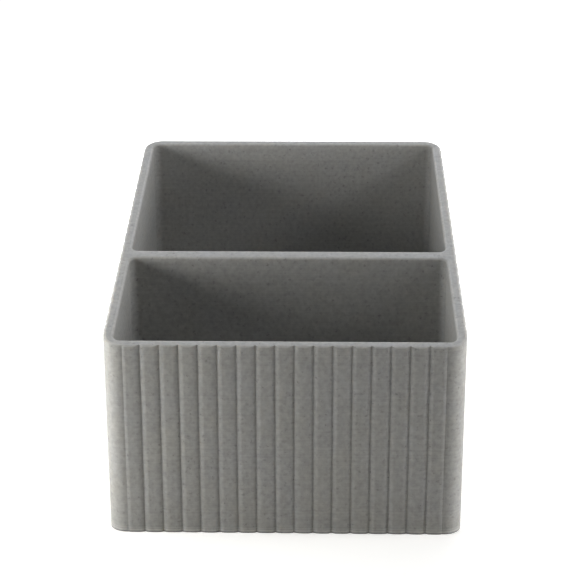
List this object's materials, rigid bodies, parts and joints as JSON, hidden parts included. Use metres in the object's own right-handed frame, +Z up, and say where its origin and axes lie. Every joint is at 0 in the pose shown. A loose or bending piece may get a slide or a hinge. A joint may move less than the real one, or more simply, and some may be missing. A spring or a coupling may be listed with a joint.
{
  "type": "remote control holder",
  "caption": "Open-topped ribbed organizer box with a rim that slopes up to the back and a cross divider between a front bay and a taller back bay.",
  "frame": {"origin": "middle of the underside, where the holder stands", "axes": "+Z up, -Y towards the low front face, +X to the right as seen from the front"},
  "size_m": [0.1332, 0.1542, 0.1183],
  "materials": {
    "stone_plastic": "matte, stone grey with fine dark specks and faint horizontal layer lines"
  },
  "bodies": {
    "root": {"holder_body": "stone_plastic"}
  },
  "joints": []
}
